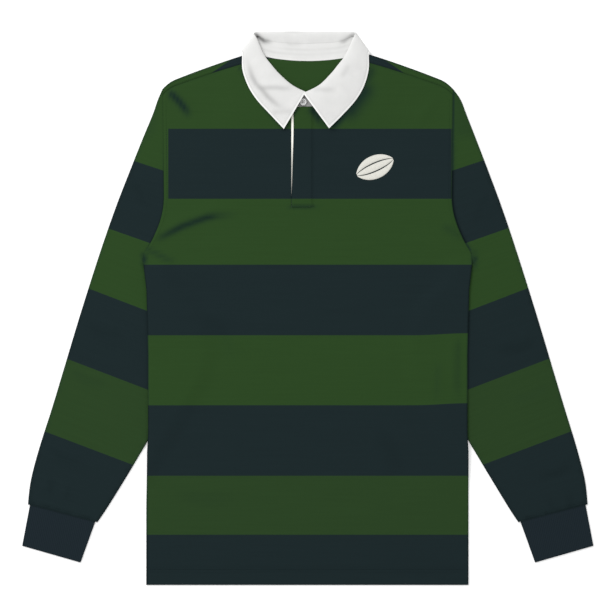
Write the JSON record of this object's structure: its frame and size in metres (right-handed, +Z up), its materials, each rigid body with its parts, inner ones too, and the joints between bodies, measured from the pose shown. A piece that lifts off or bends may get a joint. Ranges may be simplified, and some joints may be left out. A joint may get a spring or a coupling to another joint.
{
  "type": "long-sleeved rugby shirt laid flat",
  "caption": "Long-sleeved rugby shirt with broad hoops, a white twill collar and a short buttoned placket, laid flat on its back with its arms down.",
  "frame": {"origin": "on the table under the middle of the laid shirt's box", "axes": "+Z up from the table through the front, +Y from the hem to the collar, +X to the wearer's left"},
  "size_m": [0.8154, 0.7909, 0.0111],
  "materials": {
    "jersey": "heavy cotton jersey, dull, in broad green and near-black navy hoops",
    "rib": "fine knitted rib, dull, dark navy",
    "twill": "firm cotton twill, dull, off-white",
    "button": "satin, pale grey"
  },
  "bodies": {
    "root": {"back_panel": "jersey", "front_panel": "jersey", "placket_facing": "twill", "placket_flap": "jersey", "button": "button", "sleeve_left": "jersey", "sleeve_right": "jersey", "cuff_left": "rib", "cuff_right": "rib", "neckband": "twill", "collar": "twill"}
  },
  "joints": []
}
